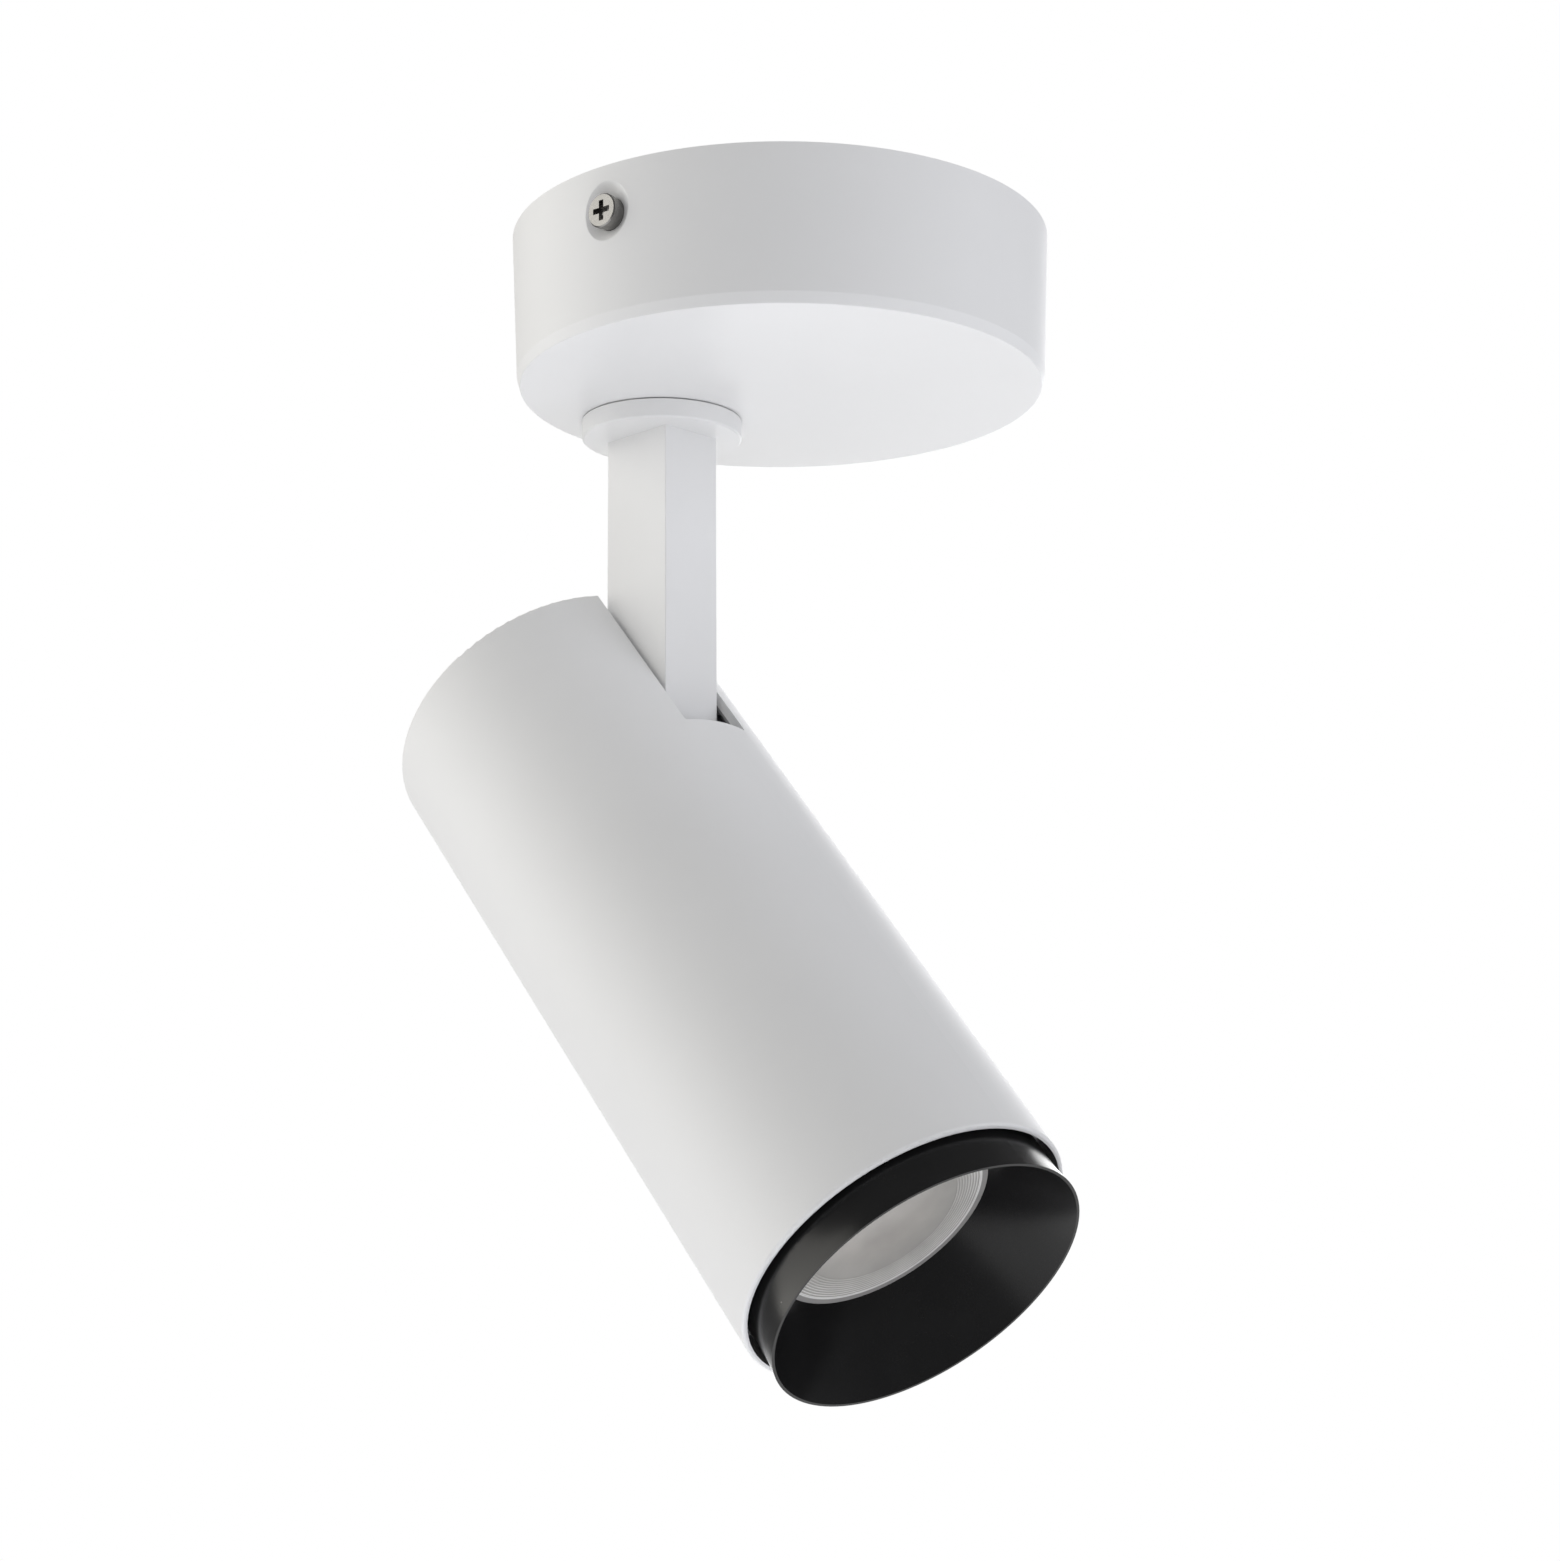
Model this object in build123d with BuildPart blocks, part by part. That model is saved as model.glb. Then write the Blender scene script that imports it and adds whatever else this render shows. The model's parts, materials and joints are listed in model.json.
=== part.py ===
from build123d import *
import os
from math import atan2, cos, degrees, radians, sin, sqrt

# Surface-mounted ceiling spotlight: a round canopy, a swivelling arm and a tilting tube head.
# Millimetres, +Z up. The origin is the centre of the canopy's ceiling face, and the part hangs below it.
# The swivel lies on the canopy's -X side, and the two side screws lie on its Y axis.

# Pose of the arm and the head, in degrees
pan_angle = -7.5
tilt_angle = 41.3

# Clearances
thread_gap = 0.02
running_gap = 0.05
sleeve_gap = 0.1
seat_gap = 0.3

# Screws
m3_radius = 1.5
m3_head_radius = 2.75
m3_head_height = 2.0
m4_radius = 2.0
m4_head_radius = 3.5
m4_head_height = 2.6
recess_depth = 1.2
recess_width = 1.0
recess_margin = 1.2

# Canopy
canopy_radius = 48.7
canopy_height = 27.8
canopy_taper = 1.0
canopy_bevel_width = 0.5
canopy_bevel_height = 2.0
canopy_edge = 0.2
canopy_wall = 1.5

# Side screws with collars, and the dimples that they stand in
dimple_drop = 8.3
dimple_radius = 5.2
dimple_depth = 1.4
dimple_edge = 0.25
side_collar_radius = 2.8
side_head_radius = 3.0
side_head_height = 1.1
side_head_edge = 0.2
side_head_stand = 1.3
side_screw_length = 6.0

# Ceiling bracket
bracket_width = 22.0
bracket_wall = 1.5
lug_width = 12.0
lug_drop = 14.0
fixing_spacing = 50.0
fixing_slot_length = 12.0
fixing_slot_width = 4.5
grommet_radius = 8.0
grommet_bore = 4.5
grommet_lip = 1.5
grommet_lip_height = 1.5

# Driver on the canopy's floor
driver_near = -12.0
driver_width = 34.0
driver_length = 62.0
driver_height = 14.5
driver_wall = 1.5
pad_thickness = 1.0
pad_margin = 5.0
post_radius = 2.0
post_height = 3.0
board_thickness = 1.6
transformer_width = 14.0
transformer_length = 16.0
transformer_height = 7.0
transformer_offset = 14.0
capacitor_radius = 4.0
capacitor_height = 7.5
capacitor_spacing = 11.0
capacitor_offset = 16.0

# Terminal block and its leads
terminal_gap = 5.0
terminal_width = 11.0
terminal_length = 26.0
terminal_height = 12.0
terminal_pitch = 8.0
terminal_bore = 1.6
terminal_bore_depth = 7.0
terminal_bore_height = 4.5
terminal_screw_radius = 1.4
terminal_screw_height = 2.5
terminal_screw_sink = 0.5
terminal_screw_slot = 0.5
lead_radius = 0.9
lead_engagement = 1.0

# Swivel
swivel_offset = 28.2
nipple_radius = 5.0
nipple_bore = 3.5
nipple_engagement = 10.0
nipple_stand_out = 1.0
gasket_radius = 13.6
gasket_thickness = 0.2
flange_radius = 14.85
flange_thickness = 3.5
flange_edge = 0.3
friction_washer_radius = 11.0
friction_washer_thickness = 1.0
stop_washer_radius = 9.0
stop_washer_thickness = 1.0
stop_tab_reach = 14.5
stop_tab_width = 3.0
stop_post_radius = 1.25
stop_post_offset = 13.0
spring_washer_radius = 8.5
spring_washer_thickness = 0.5
spring_washer_rise = 0.5
swivel_nut_radius = 8.0
swivel_nut_height = 4.0

# Arm
arm_width = 16.0
arm_thickness = 12.8
arm_edge = 0.2
pivot_drop = 85.2
pocket_top = 46.0
pocket_bottom = 66.0
cable_bore_radius = 3.0
cable_channel_radius = 1.9
cable_side_offset = 4.6

# Two-core cable from the driver to the light source
cable_radius = 1.4
output_offset = 16.0
output_drop = 3.0
output_tail = 1.0
output_reach = 7.0
output_bend = 10.0
output_loop_drop = 8.5
output_loop_bend = 6.0
pocket_run_in = 4.0
pocket_bend = 25.0
cable_exit_reach = 7.9
cable_bend_reach = 14.5
cable_bend = 12.0
cable_low_height = 15.2
cable_low_reach = 14.0
cable_end_run = 14.0
cable_lift_bend = 60.0

# Head tube, with stations measured along the head's axis from its rear face
tube_radius = 30.4
tube_wall = 2.1
tube_length = 138.6
tube_edge = 0.6
slot_width = 14.8
slot_length = 36.5
slot_corner = 0.4
pivot_from_rear = 25.0
pivot_depth = 9.9
mouth_wall = 0.9
mouth_depth = 7.1

# Rear cap
cap_recess = 0.8
cap_thickness = 1.5
cap_skirt_wall = 1.4
cap_skirt_length = 6.0

# Tilt pivot and its bracket
pivot_washer_thickness = 0.55
pivot_washer_radius = 5.3
cheek_thickness = 2.0
cheek_radius = 5.5
pivot_nut_radius = 4.0
pivot_nut_height = 3.2
pivot_bolt_spare = 1.3
plate_station = 37.0
plate_thickness = 2.0
plate_low = -9.0
plate_hole_radius = 3.4
plate_hole_drop = 5.2
plate_screw_height = -5.0
plate_screw_spread = 11.0
plate_screw_length = 8.0

# Heat sink
sink_core_radius = 11.0
sink_front_plate = 6.0
fin_count = 12
fin_thickness = 1.6

# Light source
led_pad_thickness = 0.5
led_board_side = 19.0
led_board_thickness = 1.5
phosphor_radius = 7.0
phosphor_thickness = 0.6
holder_radius = 15.0
holder_thickness = 4.0
holder_window = 8.5
holder_screw_spread = 24.0
holder_screw_length = 9.0
ear_gap = 1.1
ear_width = 8.0
ear_socket_depth = 2.0
ear_socket_margin = 2.8

# Lens and its holder
lens_recess = 15.1
lens_seat_wall = 2.55
lens_flange_thickness = 2.0
lens_rear_radius = 9.0
lens_height = 23.8
lens_stand = 7.0
lens_well_radius = 7.5
lens_well_depth = 9.0
lens_holder_wall = 1.2
lens_ledge_width = 0.8
lens_ledge_gap = 0.7
lens_ledge_thickness = 2.0

# Bezel and the ring that holds it
bezel_stand_out = 7.3
bezel_gap = 1.1
bezel_flare = 0.5
bezel_flare_start = 1.1
bezel_lip_width = 0.5
bezel_window_overlap = 1.8
bezel_neck_wall = 1.65
bezel_neck_length = 13.0
front_ring_wall = 1.85
front_ring_length = 14.5

# Heights of the canopy's floor and of what stands on it
floor_top = canopy_wall - canopy_height
case_base = floor_top + pad_thickness
lid_base = case_base + driver_height
board_base = case_base + driver_wall + post_height
board_top = board_base + board_thickness
driver_centre = driver_near + driver_width / 2
driver_far = driver_near + driver_width
terminal_near = driver_far + terminal_gap
terminal_far = terminal_near + terminal_width
terminal_centre = terminal_near + terminal_width / 2
terminal_top = case_base + terminal_height
lead_height = board_top + lead_radius
output_height = lid_base - output_drop

# Heights of the swivel's stack
gasket_top = -canopy_height - running_gap
flange_top = gasket_top - gasket_thickness
arm_top = flange_top - flange_thickness
nipple_base = arm_top - nipple_engagement
friction_base = floor_top + running_gap
stop_base = friction_base + friction_washer_thickness
spring_base = stop_base + stop_washer_thickness
nut_base = spring_base + spring_washer_thickness + spring_washer_rise
nipple_top = nut_base + swivel_nut_height + nipple_stand_out

# Stations along the head's axis: the lens is set back from the bezel's lip, and the sink stands behind it
lip_station = tube_length + bezel_stand_out
mouth_station = tube_length - mouth_depth
lens_front = lip_station - lens_recess
lens_flange_back = lens_front - lens_flange_thickness
lens_back = lens_front - lens_height
sink_front = lens_back - lens_stand
board_station = sink_front + led_pad_thickness
phosphor_station = board_station + led_board_thickness
holder_front = sink_front + holder_thickness
plate_front = plate_station + plate_thickness

# Radii of the head, from the tube inwards
bore_radius = tube_radius - tube_wall
fitted_radius = bore_radius - running_gap
ring_bore = fitted_radius - front_ring_wall
bezel_neck_radius = ring_bore - running_gap
neck_bore = bezel_neck_radius - bezel_neck_wall
lens_holder_radius = neck_bore - sleeve_gap
lens_holder_bore = lens_holder_radius - lens_holder_wall
lens_seat_radius = lens_holder_radius - lens_seat_wall
lens_flange_radius = lens_seat_radius - running_gap
lens_ledge_radius = lens_flange_radius - lens_ledge_width
lens_front_radius = lens_ledge_radius - lens_ledge_gap
bezel_window = lens_flange_radius - bezel_window_overlap
bezel_side_radius = tube_radius - mouth_wall - bezel_gap
bezel_lip_radius = bezel_side_radius + bezel_flare
ear_reach = lens_holder_bore - ear_gap
ear_socket_height = ear_reach - ear_socket_margin

# Places of the tilt pivot across the head
pivot_off_axis = tube_radius - pivot_depth
plate_hole_height = pivot_off_axis - plate_hole_drop
cheek_inside = arm_thickness / 2 + running_gap + pivot_washer_thickness
cheek_outside = cheek_inside + cheek_thickness

# Frames: the arm hangs from the swivel's axis, and the head turns about the pivot at the arm's end
arm_frame = Plane(
    origin=(-swivel_offset, 0, 0),
    x_dir=(cos(radians(pan_angle)), sin(radians(pan_angle)), 0),
    z_dir=(0, 0, 1),
)
arm_side = Plane(origin=arm_frame.origin, x_dir=arm_frame.x_dir, z_dir=-arm_frame.y_dir)
head_aim = arm_frame.x_dir * sin(radians(tilt_angle)) - arm_frame.z_dir * cos(radians(tilt_angle))
head_top = arm_frame.x_dir * cos(radians(tilt_angle)) + arm_frame.z_dir * sin(radians(tilt_angle))
pivot = arm_frame.from_local_coords(Vector(0, 0, -pivot_drop))
head_frame = Plane(
    origin=pivot - head_top * pivot_off_axis - head_aim * pivot_from_rear, x_dir=head_top, z_dir=head_aim
)
head_side = Plane(origin=head_frame.origin, x_dir=head_top, z_dir=-head_frame.y_dir)
head_axis = Axis(head_frame.origin, head_aim)


def arm_point(forward, height):
    """Point in the arm's middle plane, forward of the swivel's axis and at a height."""
    return arm_frame.from_local_coords(Vector(forward, 0, height))


def head_point(height, across, station):
    """Point of the head: height towards its slot, across it, and station along its axis."""
    return head_frame.from_local_coords(Vector(height, across, station))


def pivot_plane(across):
    """Plane square to the pivot, at a signed distance across the head, facing outwards."""
    outward = head_frame.y_dir * (1 if across > 0 else -1)
    return Plane(origin=pivot + head_frame.y_dir * across, x_dir=head_top, z_dir=outward)


def cross_recess(face, head_radius):
    """Cross-shaped block that goes into a screw's head from the plane of its face."""
    reach = 2 * (head_radius - recess_margin)
    with BuildPart() as recess:
        with BuildSketch(face):
            Rectangle(reach, recess_width)
            Rectangle(recess_width, reach)
        extrude(amount=-recess_depth)
    return recess.part


def pan_screw(seat, head_radius, head_height, shank_radius, shank_length):
    """Domed cross-recess screw: seat is the plane under its head, and faces out of the head."""
    profile = Plane(origin=seat.origin, x_dir=seat.x_dir, z_dir=-seat.y_dir)
    rim = head_height / 2
    with BuildPart() as screw:
        with BuildSketch(profile):
            with BuildLine():
                Polyline(
                    (0, head_height),
                    (0, -shank_length),
                    (shank_radius, -shank_length),
                    (shank_radius, 0),
                    (head_radius, 0),
                    (head_radius, rim),
                )
                TangentArc((0, head_height), (head_radius, rim), tangent=(1, 0))
            make_face()
        revolve(axis=Axis(seat.origin, seat.z_dir))
        add(cross_recess(seat.offset(head_height), head_radius), mode=Mode.SUBTRACT)
    return screw.part


def collar_screw(seat, collar_height):
    """Flat-headed screw whose collar stands on the seat plane and carries the head clear of it."""
    profile = Plane(origin=seat.origin, x_dir=seat.x_dir, z_dir=-seat.y_dir)
    face = collar_height + side_head_height
    with BuildPart() as screw:
        with BuildSketch(profile):
            with BuildLine():
                Polyline(
                    (0, face),
                    (0, -side_screw_length),
                    (m3_radius, -side_screw_length),
                    (m3_radius, 0),
                    (side_collar_radius, 0),
                    (side_collar_radius, collar_height),
                    (side_head_radius, collar_height),
                    (side_head_radius, face - side_head_edge),
                    (side_head_radius - side_head_edge, face),
                    close=True,
                )
            make_face()
        revolve(axis=Axis(seat.origin, seat.z_dir))
        add(cross_recess(seat.offset(face), side_head_radius), mode=Mode.SUBTRACT)
    return screw.part


def washer(plane, outer_radius, inner_radius, thickness):
    """Flat ring that rises from a plane."""
    with BuildPart() as ring:
        with BuildSketch(plane):
            Circle(outer_radius)
            Circle(inner_radius, mode=Mode.SUBTRACT)
        extrude(amount=thickness)
    return ring.part


def hex_nut(plane, corner_radius, hole_radius, height):
    """Plain hexagon nut that rises from a plane."""
    with BuildPart() as nut:
        with BuildSketch(plane):
            RegularPolygon(corner_radius, 6)
            Circle(hole_radius, mode=Mode.SUBTRACT)
        extrude(amount=height)
    return nut.part


def round_cable(points, radii):
    """Cable along straight runs joined by tangent arcs."""
    with BuildPart() as cable:
        with BuildLine() as route:
            FilletPolyline(*points, radius=radii)
        with BuildSketch(Plane(origin=route.line @ 0, z_dir=route.line % 0)):
            Circle(cable_radius)
        sweep(path=route.line)
    return cable.part


# Canopy: spun shell with a bevelled edge and two pressed dimples, with holes for the side screws' collars
bevel_top = canopy_bevel_height - canopy_height
bevel_top_radius = canopy_radius + canopy_taper * bevel_top / canopy_height
side_hole_radius = side_collar_radius + running_gap
side_wall_radius = canopy_radius - canopy_taper * dimple_drop / canopy_height
dimple_angle = degrees(atan2(dimple_radius - side_hole_radius, dimple_depth))
boss_depth = dimple_depth + canopy_wall
lug_face_outer = side_wall_radius - boss_depth - seat_gap
lug_face_inner = lug_face_outer - bracket_wall
side_collar_height = boss_depth + seat_gap + side_head_stand - side_head_height
fixing_slot_end = (fixing_spacing + fixing_slot_length) / 2
earth_screw_offset = (fixing_slot_end + lug_face_inner) / 2

with BuildPart() as canopy:
    with BuildSketch(Plane.XZ):
        with BuildLine():
            Polyline(
                (0, -canopy_height),
                (canopy_radius - canopy_taper - canopy_bevel_width, -canopy_height),
                (bevel_top_radius, bevel_top),
                (canopy_radius, 0),
                (canopy_radius - canopy_wall, 0),
                (canopy_radius - canopy_taper - canopy_wall, floor_top),
                (0, floor_top),
                close=True,
            )
        make_face()
    revolve(axis=Axis.Z)
    lowest_edges = canopy.edges().filter_by(GeomType.CIRCLE).group_by(Axis.Z)[0]
    fillet(lowest_edges, radius=canopy_edge)
    for side in (-1, 1):
        wall_face = Plane(
            origin=(0, side * side_wall_radius, -dimple_drop), x_dir=(1, 0, 0), z_dir=(0, side, 0)
        )
        with BuildSketch(wall_face.offset(-boss_depth)):
            Circle(side_hole_radius + canopy_wall)
        extrude(amount=boss_depth - canopy_wall / 2)
        with BuildSketch(wall_face.offset(-dimple_depth)):
            Circle(side_hole_radius)
        extrude(amount=boss_depth, taper=-dimple_angle, mode=Mode.SUBTRACT)
        fillet(canopy.edges(Select.LAST).sort_by_distance(wall_face.origin)[-1], radius=dimple_edge)
        with BuildSketch(wall_face):
            Circle(side_hole_radius)
        extrude(amount=-2 * boss_depth, mode=Mode.SUBTRACT)
    with BuildSketch(Plane.XY.offset(floor_top)):
        with Locations((-swivel_offset, 0)):
            Circle(nipple_radius + sleeve_gap)
    extrude(amount=-canopy_wall, mode=Mode.SUBTRACT)

with BuildPart() as canopy_screws:
    for side in (-1, 1):
        seat = Plane(
            origin=(0, side * lug_face_outer, -dimple_drop), x_dir=(1, 0, 0), z_dir=(0, side, 0)
        )
        add(collar_screw(seat, side_collar_height))

# Ceiling bracket: strip with fixing slots and a cable hole, and a lug under each end for the side screws
with BuildPart() as ceiling_bracket:
    with BuildSketch():
        Rectangle(bracket_width, 2 * lug_face_outer)
        Circle(grommet_radius, mode=Mode.SUBTRACT)
        with GridLocations(0, fixing_spacing, 1, 2):
            SlotOverall(fixing_slot_length, fixing_slot_width, rotation=90, mode=Mode.SUBTRACT)
        with Locations((0, earth_screw_offset)):
            Circle(m4_radius + thread_gap, mode=Mode.SUBTRACT)
    extrude(amount=-bracket_wall)

with BuildPart() as bracket_lugs:
    with BuildSketch(Plane.XY.offset(-bracket_wall)):
        with GridLocations(0, lug_face_inner + lug_face_outer, 1, 2):
            Rectangle(lug_width, bracket_wall)
    extrude(amount=bracket_wall - lug_drop)
    with BuildSketch(Plane.XZ):
        with Locations((0, -dimple_drop)):
            Circle(m3_radius + thread_gap)
    extrude(amount=canopy_radius, both=True, mode=Mode.SUBTRACT)

with BuildPart() as earth_screw:
    earth_seat = Plane(origin=(0, earth_screw_offset, -bracket_wall), x_dir=(1, 0, 0), z_dir=(0, 0, -1))
    add(pan_screw(earth_seat, m4_head_radius, m4_head_height, m4_radius, bracket_wall))

with BuildPart() as cable_grommet:
    with BuildSketch():
        Circle(grommet_radius - running_gap)
    extrude(amount=-bracket_wall)
    with BuildSketch(Plane.XY.offset(-bracket_wall)):
        Circle(grommet_radius + grommet_lip)
    extrude(amount=-grommet_lip_height)
    Hole(grommet_bore)

# Driver: pad, case on the floor, board on posts, components and lid
board_width = driver_width - 2 * driver_wall - 2 * seat_gap
board_length = driver_length - 2 * driver_wall - 2 * seat_gap
lead_rows = ((-terminal_pitch, lead_height), (terminal_pitch, lead_height))

with BuildPart() as driver_pad:
    with BuildSketch(Plane.XY.offset(floor_top)):
        with Locations((driver_centre, 0)):
            Rectangle(driver_width - 2 * pad_margin, driver_length - 2 * pad_margin)
    extrude(amount=pad_thickness)

with BuildPart() as driver_case:
    with BuildSketch(Plane.XY.offset(case_base)):
        with Locations((driver_centre, 0)):
            Rectangle(driver_width, driver_length)
    extrude(amount=driver_height)
    with BuildSketch(Plane.XY.offset(case_base + driver_wall)):
        with Locations((driver_centre, 0)):
            Rectangle(driver_width - 2 * driver_wall, driver_length - 2 * driver_wall)
    extrude(amount=driver_height, mode=Mode.SUBTRACT)
    with BuildSketch(Plane.XY.offset(case_base + driver_wall)):
        with Locations((driver_centre, 0)):
            with GridLocations(board_width - 2 * post_radius, board_length - 2 * post_radius, 2, 2):
                Circle(post_radius)
    extrude(amount=post_height)
    with BuildSketch(Plane.YZ.offset(driver_near)):
        with Locations((output_offset, output_height)):
            Circle(cable_radius + running_gap)
    extrude(amount=driver_wall, mode=Mode.SUBTRACT)
    with BuildSketch(Plane.YZ.offset(driver_far)):
        with Locations(*lead_rows):
            Circle(lead_radius + running_gap)
    extrude(amount=-driver_wall, mode=Mode.SUBTRACT)

with BuildPart() as driver_lid:
    with BuildSketch(Plane.XY.offset(lid_base)):
        with Locations((driver_centre, 0)):
            Rectangle(driver_width, driver_length)
    extrude(amount=driver_wall)

with BuildPart() as driver_board:
    with BuildSketch(Plane.XY.offset(board_base)):
        with Locations((driver_centre, 0)):
            Rectangle(board_width, board_length)
    extrude(amount=board_thickness)

with BuildPart() as driver_transformer:
    with BuildSketch(Plane.XY.offset(board_top)):
        with Locations((driver_centre, -transformer_offset)):
            Rectangle(transformer_width, transformer_length)
    extrude(amount=transformer_height)

with BuildPart() as driver_capacitors:
    with BuildSketch(Plane.XY.offset(board_top)):
        with Locations((driver_centre, capacitor_offset)):
            with GridLocations(0, capacitor_spacing, 1, 2):
                Circle(capacitor_radius)
    extrude(amount=capacitor_height)

# Terminal block beside the driver, for the supply
supply_rows = [(row * terminal_pitch, case_base + terminal_bore_height) for row in (-1, 0, 1)]
screw_rows = [(terminal_centre, row * terminal_pitch) for row in (-1, 0, 1)]

with BuildPart() as terminal_pad:
    with BuildSketch(Plane.XY.offset(floor_top)):
        with Locations((terminal_centre, 0)):
            Rectangle(terminal_width, terminal_length)
    extrude(amount=pad_thickness)

with BuildPart() as terminal_block:
    with BuildSketch(Plane.XY.offset(case_base)):
        with Locations((terminal_centre, 0)):
            Rectangle(terminal_width, terminal_length)
    extrude(amount=terminal_height)
    with BuildSketch(Plane.YZ.offset(terminal_far)):
        with Locations(*supply_rows):
            Circle(terminal_bore)
    extrude(amount=-terminal_bore_depth, mode=Mode.SUBTRACT)
    with BuildSketch(Plane.YZ.offset(terminal_near)):
        with Locations(*lead_rows):
            Circle(lead_radius + running_gap)
    extrude(amount=lead_engagement, mode=Mode.SUBTRACT)
    with BuildSketch(Plane.XY.offset(terminal_top)):
        with Locations(*screw_rows):
            Circle(terminal_screw_radius + thread_gap)
    extrude(amount=-(terminal_screw_height + terminal_screw_sink), mode=Mode.SUBTRACT)

with BuildPart() as terminal_screws:
    with BuildSketch(Plane.XY.offset(terminal_top - terminal_screw_sink)):
        with Locations(*screw_rows):
            Circle(terminal_screw_radius)
    extrude(amount=-terminal_screw_height)
    with BuildSketch(Plane.XY.offset(terminal_top - terminal_screw_sink)):
        with Locations(*screw_rows):
            Rectangle(2 * terminal_screw_radius, terminal_screw_slot)
    extrude(amount=-terminal_screw_slot, mode=Mode.SUBTRACT)

with BuildPart() as driver_leads:
    with BuildSketch(Plane.YZ.offset(driver_far - driver_wall - lead_engagement)):
        with Locations(*lead_rows):
            Circle(lead_radius)
    extrude(amount=driver_wall + terminal_gap + 2 * lead_engagement)

with BuildPart() as driver_cable:
    output_points = [
        (driver_near + driver_wall + output_tail, output_offset, output_height),
        (driver_near - output_reach, output_offset, output_height),
        (-swivel_offset, 0, -output_loop_drop),
        (-swivel_offset, 0, nipple_top + seat_gap),
    ]
    add(round_cable(output_points, [output_bend, output_loop_bend]))

# Swivel: flange and gasket under the floor, and washers and a nut on the hollow nipple above it
with BuildPart() as swivel_gasket:
    add(washer(arm_frame.offset(flange_top), gasket_radius, nipple_radius + running_gap, gasket_thickness))

with BuildPart() as swivel_flange:
    add(washer(arm_frame.offset(arm_top), flange_radius, nipple_radius + running_gap, flange_thickness))
    flange_rims = swivel_flange.edges().filter_by(GeomType.CIRCLE).sort_by(SortBy.RADIUS)[-2:]
    chamfer(flange_rims.sort_by(Axis.Z)[0], length=flange_edge)

with BuildPart() as swivel_nipple:
    add(washer(arm_frame.offset(nipple_base), nipple_radius, nipple_bore, nipple_top - nipple_base))

with BuildPart() as friction_washer:
    washer_plane = arm_frame.offset(friction_base)
    add(washer(washer_plane, friction_washer_radius, nipple_radius + running_gap, friction_washer_thickness))

with BuildPart() as stop_washer:
    with BuildSketch(arm_frame.offset(stop_base)):
        Circle(stop_washer_radius)
        with Locations((-stop_tab_reach / 2, 0)):
            Rectangle(stop_tab_reach, stop_tab_width)
        Circle(nipple_radius + running_gap, mode=Mode.SUBTRACT)
    extrude(amount=stop_washer_thickness)

with BuildPart() as stop_post:
    with BuildSketch(Plane.XY.offset(floor_top)):
        with Locations((stop_post_offset - swivel_offset, 0)):
            Circle(stop_post_radius)
    extrude(amount=spring_base - floor_top)

with BuildPart() as spring_washer:
    with BuildSketch(arm_side):
        with BuildLine():
            Polyline(
                (spring_washer_radius, spring_base),
                (spring_washer_radius, spring_base + spring_washer_thickness),
                (nipple_radius + running_gap, nut_base),
                (nipple_radius + running_gap, spring_base + spring_washer_rise),
                close=True,
            )
        make_face()
    revolve(axis=Axis(arm_frame.origin, arm_frame.z_dir))

with BuildPart() as swivel_nut:
    add(hex_nut(arm_frame.offset(nut_base), swivel_nut_radius, nipple_radius + thread_gap, swivel_nut_height))

# Arm: bar with a round eye, a threaded socket for the nipple and a cable way beside the pivot
half_width = arm_width / 2

with BuildPart() as arm:
    with BuildSketch(arm_side):
        with BuildLine():
            Polyline(
                (-half_width, -pivot_drop),
                (-half_width, arm_top),
                (half_width, arm_top),
                (half_width, -pivot_drop),
            )
            ThreePointArc(
                (half_width, -pivot_drop), (0, -pivot_drop - half_width), (-half_width, -pivot_drop)
            )
        make_face()
    extrude(amount=arm_thickness / 2, both=True)
    fillet(arm.edges().filter_by(Axis.Z), radius=arm_edge)
    with BuildSketch(arm_side):
        with Locations((0, -pivot_drop)):
            Circle(m4_radius + running_gap)
    extrude(amount=arm_thickness, both=True, mode=Mode.SUBTRACT)
    with BuildSketch(arm_frame.offset(arm_top)):
        Circle(nipple_radius + thread_gap)
    extrude(amount=-nipple_engagement, mode=Mode.SUBTRACT)
    with BuildSketch(arm_frame.offset(nipple_base)):
        Circle(cable_bore_radius)
    extrude(amount=-nipple_base - pocket_bottom, mode=Mode.SUBTRACT)
    with BuildSketch(arm_frame.offset(-pocket_top)):
        with Locations((cable_side_offset / 2, 0)):
            SlotCenterToCenter(cable_side_offset, 2 * cable_channel_radius)
    extrude(amount=pocket_top - pocket_bottom, mode=Mode.SUBTRACT)
    with BuildSketch(arm_frame.offset(-pocket_bottom)):
        with Locations((cable_side_offset, 0)):
            Circle(cable_channel_radius)
    extrude(amount=pocket_bottom - pivot_drop - arm_width, mode=Mode.SUBTRACT)

with BuildPart() as arm_cable:
    cable_end = pivot_drop + sqrt(half_width**2 - (cable_side_offset + cable_radius) ** 2)
    arm_points = [
        arm_point(0, nipple_top),
        arm_point(0, -pocket_top - pocket_run_in),
        arm_point(cable_side_offset, pocket_run_in - pocket_bottom),
        arm_point(cable_side_offset, -cable_end),
    ]
    add(round_cable(arm_points, [pocket_bend, pocket_bend]))

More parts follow.
